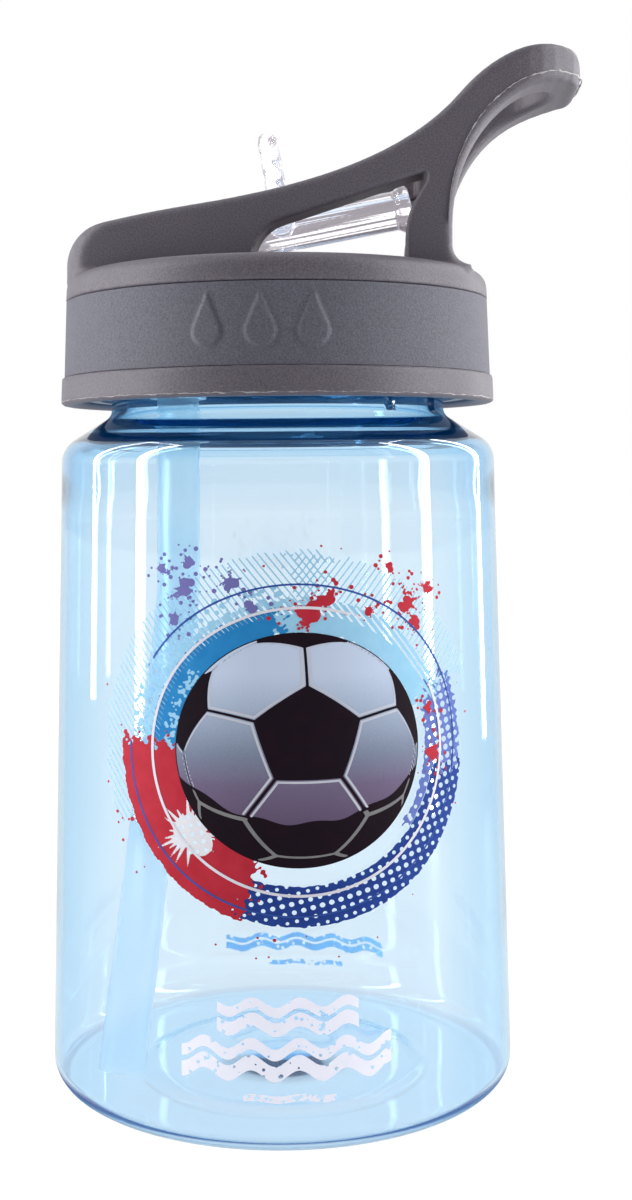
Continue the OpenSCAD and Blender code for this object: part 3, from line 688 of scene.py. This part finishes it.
def make_artwork():
    draw = random.Random(11)
    axis = np.arange(-ART_REACH, ART_REACH, ART_STEP)
    across = (radians(ART_ANGLE) + axis * ACROSS).tolist()
    up = (ART_Z + axis).tolist()
    x, y = axis[:, None], axis[None, :]
    r = np.hypot(x, y)
    turn = np.degrees(np.arctan2(y, x)) % 360
    rough = (0.5 * np.sin(2.3 * x + 1.1 * y) * np.sin(1.7 * y - 0.6 * x)
             + 0.35 * np.sin(5.3 * x - 2.1 * y + 1) * np.sin(4.7 * y))
    ball = r - BALL_R

    def band(inner, outer, start, end, wobble=0.0):
        """Part of a ring between two angles, with ragged ends."""
        middle, half = (start + end) / 2, (end - start) / 2
        off = np.abs((turn - middle + 180) % 360 - 180) - half
        ring = np.maximum(inner - r, r - outer) + wobble * rough
        return np.maximum(ring, np.radians(off) * r + 2.5 * rough)

    def dots(blobs):
        return drops(np.full(r.shape, EMPTY), axis, blobs)

    def ink(name, field, layer, mat):
        print_ink(name, field, across, up, INK_LIFT * layer, mat)

    def behind_ball(name, field, layer):
        ink("print_" + name, np.maximum(field, -ball - 0.1), layer, printed(name))

    # light blue hatching round the top, finer on the left, and the wash inside it
    lines = np.abs((0.8 * x + 0.6 * y) % 0.8 - 0.4) - 0.1
    crossed = np.abs((0.8 * x - 0.6 * y) % 0.8 - 0.4) - 0.1
    hatch = np.maximum(band(21.2, 27.6, 20, 92, 0.6), crossed)
    behind_ball("hatch", np.minimum(hatch, np.maximum(band(20.6, 28.2, 82, 205, 0.6), lines)), 1)
    wash = np.maximum(band(16.5, 21.4, 18, 200, 0.5), -np.maximum(lines - 0.05, 19.2 - r))
    behind_ball("wash", drops(wash, axis, scatter(draw, 170, (20.5, 24), (95, 200), (0.1, 0.45))), 2)
    # strong blue band, upper left, with slits and specks left open
    slits = np.where(r > 19, 0.1 - np.abs((x + y) % 0.9 - 0.45), -EMPTY)
    specks = dots(scatter(draw, 90, (16.8, 18.4), (140, 186), (0.12, 0.3)))
    behind_ball("sky", np.maximum(np.maximum(band(16.4, 20.2, 98, 182, 0.4), slits), -specks), 3)
    # navy half ring with rows of open dots, going over into a lighter blue
    dot = np.hypot((0.97 * x + 0.26 * y) % DOT_PITCH - DOT_PITCH / 2,
                   (0.97 * y - 0.26 * x) % DOT_PITCH - DOT_PITCH / 2)
    size = np.clip(0.36 - 0.05 * np.abs(r - 22) + 0.05 * np.cos(np.radians(turn - 350)), 0.05, 0.42)
    open_dots = size - dot
    navy = np.maximum(band(19.2, 24.9, 240, 350, 0.15), open_dots)
    behind_ball("navy", navy, 2)
    blue = np.maximum(band(17.8, 24.4, 322, 385, 0.4), open_dots + 0.06)
    behind_ball("blue", np.maximum(blue, 0.05 - navy), 1)
    # red: the lower left band round an open burst, the splashes and loose drops
    burst = dots([(-14.6, -11.8, 2.3), (-13.2, -13.4, 1.8)] + spikes(draw, -14.5, -12.0, 4.6, 26))
    red = np.maximum(band(16.4, 25.2, 178, 252, 0.3), -burst)
    for splash in RED_SPLASHES:
        red = drops(red, axis, splat(draw, *splash))
    behind_ball("red", drops(red, axis, scatter(draw, 26, (25, 30), (0, 360), (0.12, 0.26))), 4)
    # white in the burst and in the dots beside it
    behind_ball("white", np.maximum(burst, np.minimum(0.3 - dot, 16.6 + x + 0 * y)), 3)
    # violet splashes, upper left
    violet = [blob for splash in VIOLET_SPLASHES for blob in splat(draw, *splash)]
    ink("print_violet", dots(violet), 4, printed("violet"))
    # the two thin circles
    pale = np.abs(np.hypot(x - 0.2, y + 0.2) - 20.3) - 0.2
    ink("print_circle_pale", np.maximum(pale, -band(10, 30, 25, 68)), 6, printed("pale"))
    dark = np.abs(np.hypot(x + 0.3, y) - 23.4) - 0.14
    ink("print_circle_dark", np.maximum(dark, -band(10, 30, 150, 180)), 5, printed("line"))
    # the ball: its dark ground, lit panels with pale edges, and grey seams in the shade below
    seam = ball_panels(x / BALL_R, y / BALL_R) * BALL_R
    lit = np.hypot(x, y - 12.4) - 22.7
    ink("print_ball", ball, 5, printed("ball"))
    panels = np.maximum(np.maximum(seam + 0.16, lit + 0.25 * np.sin(0.9 * x)), ball + 0.15)
    ink("print_panels", panels, 6, shaded("ink_panels", ART_Z - 10.5, ART_Z + 12))
    edges = np.maximum(np.maximum(np.abs(seam + 0.42) - 0.13, lit), ball + 0.2)
    ink("print_panel_edges", edges, 7, printed("edges"))
    seams = np.maximum(np.maximum(np.abs(seam) - 0.3, 0.3 - lit), ball + 0.3)
    ink("print_seams", seams, 7, printed("seams"))


def make_ribbons():
    """Plain waves where the bottle carries its lettering, front and back."""
    # the ribbons' inks get a painted glow, stronger at the front, for the light shining through them
    inks = {"ribbon": printed("ribbon", 0.25), "ribbon_back": printed("ribbon_back", 0.06)}
    for name, centre, z0, half, height, ink in WAVES:
        draw = random.Random(name)
        x = np.arange(-half - 1, half + 1, WAVE_STEP)
        y = np.arange(-2 * height - 1, 2 * height + 1, WAVE_STEP)
        wave = y[None, :] - 0.3 * height * np.sin(2 * pi * x / WAVE_LENGTH)[:, None]
        field = np.maximum(np.abs(wave) - height * 0.85, np.abs(x)[:, None] - half)
        field = np.maximum(field, 0.14 * height * (height > 1) - np.abs(wave - 0.1 * height))
        for _ in range(int(half * 5)):
            hx = draw.uniform(-half, half)
            hy = draw.uniform(-1.3, 1.3) * height
            hr = draw.uniform(0.1, 0.32)
            field = np.maximum(field, hr - np.hypot(x[:, None] - hx, y[None, :] - hy))
        print_ink(name, field, ((centre + x) / WAVE_R).tolist(), (z0 + y).tolist(), 2 * INK_LIFT, inks[ink])


# ---------------- materials
# share of the tint, face-on to edge-on
EDGE_TINT = ((0.0, 0.0), (0.35, 0.04), (0.7, 0.4), (1.0, 0.8))
# colours up the straw and up the ball's lit panels
STRAW_TINTS = ((0.0, (0.99, 1, 1)), (0.3, (0.88, 0.94, 0.98)), (0.45, (0.66, 0.8, 0.92)),
               (0.65, (0.74, 0.88, 0.95)), (0.8, (0.9, 0.96, 0.98)), (1.0, (0.88, 0.97, 0.99)))
PANEL_TONES = ((0.0, (0.10, 0.065, 0.13)), (0.3, (0.16, 0.125, 0.22)), (0.5, (0.2, 0.24, 0.34)),
               (0.8, (0.39, 0.47, 0.62)), (1.0, (0.52, 0.61, 0.78)))
# each ink's darker and lighter colour
INKS = {"hatch": ((0.28, 0.54, 0.76), (0.38, 0.64, 0.84)), "wash": ((0.26, 0.55, 0.78), (0.36, 0.64, 0.84)),
        "sky": ((0.01, 0.17, 0.47), (0.03, 0.27, 0.58)), "navy": ((0.01, 0.028, 0.2), (0.025, 0.075, 0.34)),
        "blue": ((0.08, 0.12, 0.42), (0.16, 0.22, 0.55)), "red": ((0.4, 0.014, 0.03), (0.54, 0.035, 0.06)),
        "white": ((0.72, 0.72, 0.78), (0.8, 0.8, 0.85)), "violet": ((0.12, 0.12, 0.36), (0.2, 0.19, 0.46)),
        "pale": ((0.66, 0.66, 0.76), (0.76, 0.76, 0.84)), "line": ((0.02, 0.06, 0.28), (0.04, 0.1, 0.4)),
        "ball": ((0.003, 0.002, 0.006), (0.014, 0.003, 0.01)), "edges": ((0.5, 0.52, 0.6), (0.6, 0.62, 0.7)),
        "seams": ((0.17, 0.17, 0.18), (0.25, 0.25, 0.26)), "ribbon": ((0.7, 0.71, 0.82), (0.78, 0.79, 0.89)),
        "ribbon_back": ((0.42, 0.62, 0.68), (0.48, 0.68, 0.74))}


def fill(node, **values):
    """Sets inputs of a node; values are input names with spaces as underscores."""
    for key, value in values.items():
        node.inputs[key.replace("_", " ")].default_value = value
    return node


def add(nodes, kind, operation=None, **values):
    """A new shader node."""
    node = nodes.new("ShaderNode" + kind)
    if operation:
        node.operation = operation
    return fill(node, **values)


def wire(*runs):
    """Joins nodes; each run is a node, its output, the next node and that one's input."""
    for start, output, end, entry in runs:
        start.id_data.links.new(start.outputs[output], end.inputs[entry])


def noise(nodes, **values):
    """A noise texture that stays with the object."""
    place, texture = add(nodes, "TexCoord"), add(nodes, "TexNoise", **values)
    wire((place, "Object", texture, "Vector"))
    return texture


def material(name, **values):
    """A Principled material with some inputs set."""
    mat = bpy.data.materials.new(name)
    mat.use_nodes = True
    nodes = mat.node_tree.nodes
    return mat, nodes, fill(nodes["Principled BSDF"], **values)


def colour_ramp(nodes, stops):
    """A colour ramp from (position, colour) stops in order."""
    ramp_node = add(nodes, "ValToRGB")
    row = ramp_node.color_ramp
    for at, _ in stops[1:-1]:
        row.elements.new(at)
    for stop, (at, colour) in zip(row.elements, stops):
        stop.position, stop.color = at, (*colour, 1)
    return ramp_node


def colour_mix(nodes, a=(1, 1, 1), b=(1, 1, 1)):
    """A mix of two colours."""
    node = nodes.new("ShaderNodeMix")
    node.data_type = "RGBA"
    return fill(node, A=(*a, 1), B=(*b, 1))


def along(nodes, axis, low, high, **values):
    """A value that goes from 0 to 1, or as the values say, between two places on an axis."""
    place = add(nodes, "TexCoord")
    split = add(nodes, "SeparateXYZ")
    span = add(nodes, "MapRange", From_Min=low * MM, From_Max=high * MM, **values)
    wire((place, "Object", split, "Vector"), (split, axis, span, "Value"))
    return span


def mottled(nodes, shader, colours, scale, rough, bump_scale, bump):
    """Colour and roughness that vary with noise, and a fine grain as bump; returns the colour's node."""
    broad = noise(nodes, Scale=scale, Detail=6)
    mix = colour_mix(nodes, *colours)
    spread = add(nodes, "MapRange", To_Min=rough[0], To_Max=rough[1])
    grain = noise(nodes, Scale=bump_scale, Detail=3)
    relief = add(nodes, "Bump", Strength=bump[0], Distance=bump[1] * MM)
    wire((broad, "Fac", mix, "Factor"), (broad, "Fac", spread, "Value"),
         (mix, "Result", shader, "Base Color"), (spread, "Result", shader, "Roughness"),
         (grain, "Fac", relief, "Height"), (relief, "Normal", shader, "Normal"))
    return mix


def moulded(name, dark, light, rough):
    """Fine-grained opaque plastic; each speck of the mould's texture takes the light differently."""
    mat, nodes, shader = material(name, Specular_IOR_Level=0.65)
    colour = mottled(nodes, shader, (dark, light), 60, rough, 4200, (0.5, 0.05))
    specks = noise(nodes, Scale=3800)
    lift = add(nodes, "MapRange", From_Min=0.3, From_Max=0.7, To_Min=0.68, To_Max=1.32)
    blend = add(nodes, "VectorMath", "SCALE")
    wire((specks, "Fac", lift, "Value"), (colour, "Result", blend, 0), (lift, "Result", blend, "Scale"),
         (blend, "Vector", shader, "Base Color"))
    return mat


def clear(name, tint, density, rough, ior, ripple, glow, stretch=(1, 1, 1)):
    """Clear plastic, tinted in depth and towards its edges, with faint ripples in its surface and a painted
    glow of its own, though it is no lamp.
    """
    mat, nodes, shader = material(name, Transmission_Weight=1.0, IOR=ior,
                                         Emission_Strength=glow[0], Emission_Color=(*glow[1], 1))
    place = add(nodes, "TexCoord")
    flow = add(nodes, "Mapping")
    flow.vector_type = "TEXTURE"
    fill(flow, Rotation=(0, -radians(SPOUT_SLOPE), 0), Scale=stretch)
    waves = add(nodes, "TexNoise", Scale=90)
    spread = add(nodes, "MapRange", To_Min=rough[0], To_Max=rough[1])
    relief = add(nodes, "Bump", Strength=0.2, Distance=ripple * MM)
    edge = add(nodes, "LayerWeight", Blend=0.5)
    rims = colour_ramp(nodes, [(at, [1 - amount * (1 - c) for c in tint]) for at, amount in EDGE_TINT])
    path = add(nodes, "LightPath")
    through = add(nodes, "BsdfTransparent", Color=(*[0.5 + 0.5 * c for c in tint], 1))
    mix = add(nodes, "MixShader")
    out = nodes["Material Output"]
    wire((place, "Object", flow, "Vector"), (flow, "Vector", waves, "Vector"),
         (waves, "Fac", spread, "Value"), (spread, "Result", shader, "Roughness"),
         (waves, "Fac", relief, "Height"), (relief, "Normal", shader, "Normal"),
         (edge, "Facing", rims, "Fac"), (rims, "Color", shader, "Base Color"),
         (path, "Is Shadow Ray", mix, "Fac"), (shader, "BSDF", mix, 1), (through, "BSDF", mix, 2),
         (mix, "Shader", out, "Surface"))
    if density:
        absorb = add(nodes, "VolumeAbsorption", Color=(*tint, 1), Density=density)
        wire((absorb, "Volume", out, "Volume"))
    return mat


def milky():
    """The straw's plastic, near white at the foot and the top and light blue from about halfway to two thirds
    of the way up.
    """
    mat, nodes, shader = material("milky_plastic", Transmission_Weight=0.95, IOR=1.1)
    mottled(nodes, shader, ((1, 1, 1), (1, 1, 1)), 80, (0.3, 0.4), 500, (0.1, 0.02))
    height = along(nodes, "Z", 0, 118)
    straw_tint = colour_ramp(nodes, STRAW_TINTS)
    wire((height, "Result", straw_tint, "Fac"), (straw_tint, "Color", shader, "Base Color"))
    return mat


def printed(name, glow=0.0):
    """Screen-printed ink, slightly uneven and half matt; a thin one gets a painted glow that stands in for
    the light shining through it from behind.
    """
    dark, light = INKS[name]
    mat, nodes, shader = material("ink_" + name, Specular_IOR_Level=0.1,
                                         Emission_Strength=glow, Emission_Color=(*light, 1))
    mottled(nodes, shader, (dark, light), 450, (0.45, 0.6), 9000, (0.1, 0.01))
    return mat


def shaded(name, low, high):
    """The ball's light panels: pale above, grey-blue and then a dusky violet below, finely speckled."""
    mat, nodes, shader = material(name, Roughness=0.5, Specular_IOR_Level=0.2)
    height = along(nodes, "Z", low, high)
    grain = noise(nodes, Scale=5000)
    uneven = add(nodes, "Math", "MULTIPLY_ADD")
    uneven.inputs[1].default_value = 0.12
    tones = colour_ramp(nodes, PANEL_TONES)
    wire((grain, "Fac", uneven, 0), (height, "Result", uneven, 2), (uneven, "Value", tones, "Fac"),
         (tones, "Color", shader, "Base Color"))
    return mat


def dress(obj, mat):
    """Gives an object one material."""
    obj.data.materials.clear()
    obj.data.materials.append(mat)


# ---------------- stage
FRONT_LIGHT = 0.22  # the studio's light in front; behind, it is 1
REFRACTED = ((0.0, (0.03, 0.1, 0.25)), (0.55, (0.22, 0.37, 0.56)), (0.85, (0.68, 0.78, 0.89)),
             (0.95, (1, 1, 1)))
FLOOR_LIGHT, FLOOR_SEEN = 0.83, 0.96  # the floor's glow as light, and to the eye
# the painted contact shadow, a dark line on the floor where the bottle stands: its colour and reach, and its
# strength by distance as a share of that reach
SHADOW_TINT, SHADOW_REACH = (0.04, 0.08, 0.3), 40
SHADOW_STOPS = ((0.0, 0.0), (0.87, 0.0), (0.885, 1.0), (0.94, 1.0), (0.955, 0.0))
# name, azimuth, lowest and highest point, width, power
UPRIGHTS = (("left_wide", -65.6, 5, 420, 20, 0.62), ("left_thin", -99, 35, 420, 10, 0.3),
            ("left_faint", -87, 90, 330, 8, 0.02), ("right_wide", 80, 5, 420, 20, 0.74),
            ("right_thin", 125, 20, 420, 10, 0.36), ("right_faint", 60.5, 130, 330, 10, 0.015),
            ("left_arch", -82.3, 412, 428, 150, 0.15), ("right_arch", 102.5, 412, 428, 195, 0.15))
LIGHT_DISTANCE = 250


def area_light(name, azimuth, low, high, width, power):
    """A standing softbox that faces the bottle's axis. Azimuth 0 is the camera's side."""
    a = radians(azimuth)
    light = bpy.data.lights.new(name, "AREA")
    light.shape = "RECTANGLE"
    light.size, light.size_y = width * MM, (high - low) * MM
    light.energy = power
    obj = bpy.data.objects.new(name, light)
    far = LIGHT_DISTANCE * MM
    obj.location = (far * sin(a), -far * cos(a), (low + high) / 2 * MM)
    obj.rotation_euler = (radians(90), 0, a)
    obj.visible_camera = False
    bpy.context.scene.collection.objects.link(obj)


def make_world():
    """White to the eye; as light, a studio that is dark in front, brighter at the sides and bright behind.
    What the clear plastic refracts is bluer towards the front."""
    world = bpy.data.worlds.new("studio")
    world.use_nodes = True
    nodes = world.node_tree.nodes
    place = add(nodes, "TexCoord")
    split = add(nodes, "SeparateXYZ")
    tones = add(nodes, "MapRange", From_Min=-0.8, From_Max=0.38, To_Min=FRONT_LIGHT, To_Max=1.0)
    tones.interpolation_type = "SMOOTHSTEP"
    path = add(nodes, "LightPath")
    refracted = colour_ramp(nodes, REFRACTED)
    tint, seen = colour_mix(nodes), colour_mix(nodes)
    wire((place, "Generated", split, "Vector"), (split, "Y", tones, "Value"),
         (split, "Y", refracted, "Fac"), (path, "Is Transmission Ray", tint, "Factor"),
         (tones, "Result", tint, "A"), (refracted, "Color", tint, "B"),
         (path, "Is Camera Ray", seen, "Factor"), (tint, "Result", seen, "A"),
         (seen, "Result", nodes["Background"], "Color"))
    return world


def make_floor():
    """White to the eye; as light, a pale glow with a painted contact shadow, a dark line where the bottle
    touches it, stronger towards the front.
    """
    bpy.ops.mesh.primitive_plane_add(size=8, location=(0, 0, -0.1 * MM))
    floor = bpy.context.object
    floor.name = "floor"
    mat, nodes, shader = material("floor_pale")
    mottled(nodes, shader, ((0.035, 0.035, 0.035), (0.045, 0.045, 0.045)), 3, (0.6, 0.7), 400, (0.05, 0.05))
    # painted contact shadow: a dark ring by distance from the axis, stronger towards the front, seen by every
    # ray but the camera's
    place = add(nodes, "TexCoord")
    ring = add(nodes, "VectorMath", "LENGTH")
    scaled = add(nodes, "Math", "DIVIDE")
    scaled.inputs[1].default_value = SHADOW_REACH * MM
    contact_shadow = colour_ramp(nodes, [(at, [amount] * 3) for at, amount in SHADOW_STOPS])
    nearer = along(nodes, "Y", 20, -20, To_Min=0.12, To_Max=1.0)
    amount = add(nodes, "Math", "MULTIPLY")
    shade, white = colour_mix(nodes, b=SHADOW_TINT), colour_mix(nodes)
    path = add(nodes, "LightPath")
    glow = add(nodes, "MapRange", To_Min=FLOOR_LIGHT, To_Max=FLOOR_SEEN)
    wire((place, "Object", ring, 0), (ring, "Value", scaled, 0), (scaled, "Value", contact_shadow, "Fac"),
         (nearer, "Result", amount, 0), (contact_shadow, "Color", amount, 1), (amount, "Value", shade, "Factor"),
         (shade, "Result", white, "A"), (path, "Is Camera Ray", white, "Factor"),
         (white, "Result", shader, "Emission Color"), (path, "Is Camera Ray", glow, "Value"),
         (glow, "Result", shader, "Emission Strength"))
    dress(floor, mat)
    return floor


def make_stage():
    scene = bpy.context.scene
    scene.world = make_world()
    scene.view_settings.view_transform = "Standard"
    floor = make_floor()
    for upright in UPRIGHTS:
        area_light(*upright)


def make_camera():
    """Level with the neck, slightly to the right of the front."""
    data = bpy.data.cameras.new("camera")
    data.sensor_fit = "VERTICAL"
    data.sensor_height = 36
    data.lens = 47.4
    data.shift_x, data.shift_y = 0.0317, -0.1083
    data.clip_start = 0.01
    obj = bpy.data.objects.new("camera", data)
    turn = radians(4)
    distance, height, roll = 259, 97, radians(-0.46)
    place = Vector((distance * sin(turn), -distance * cos(turn), height)) * MM
    upright = Matrix.Rotation(turn, 4, "Z") @ Matrix.Rotation(radians(90), 4, "X")
    obj.matrix_world = Matrix.Translation(place) @ upright @ Matrix.Rotation(roll, 4, "Z")
    bpy.context.scene.collection.objects.link(obj)
    bpy.context.scene.camera = obj


make_camera()
make_stage()
body = make_body()
lid = make_lid(LID_CELL)
flash = make_flash()
band = make_band()
spout = make_spout(SPOUT_CELL)
straw = make_straw()

# the body gives off a faint painted blue glow
dress(body, clear("tinted_plastic", (0.12, 0.63, 0.905), 165, (0.015, 0.04), 1.54, 0.02,
                  (0.012, (0.0, 0.4, 1.0))))
make_artwork()
make_ribbons()
dress(lid, moulded("lid_plastic", (0.076, 0.065, 0.084), (0.096, 0.082, 0.105), (0.46, 0.58)))
# the flash is much lighter than the lid: a painted highlight along the thin fin
dress(flash, moulded("flash_painted_highlight", (0.3, 0.28, 0.29), (0.42, 0.4, 0.42), (0.4, 0.5)))
dress(band, moulded("band_rubber", (0.069, 0.068, 0.094), (0.087, 0.085, 0.115), (0.62, 0.75)))
# the spout gives off a faint painted lilac glow
dress(spout, clear("clear_plastic", (0.97, 0.83, 0.74), 0, (0.02, 0.08), 1.42, 0.4,
                   (0.08, (0.95, 0.88, 0.97)), (3.6, 0.06, 0.06)))
dress(straw, milky())
silicone = moulded("silicone", (0.75, 0.77, 0.78), (0.82, 0.84, 0.85), (0.4, 0.55))
for name in ("cap_gasket", "spout_seal", "vent_valve"):
    dress(frame["nodes"][name], silicone)
liner = moulded("liner_plastic", (0.14, 0.14, 0.155), (0.18, 0.18, 0.195), (0.4, 0.5))
dress(frame["nodes"]["threaded_liner"], liner)
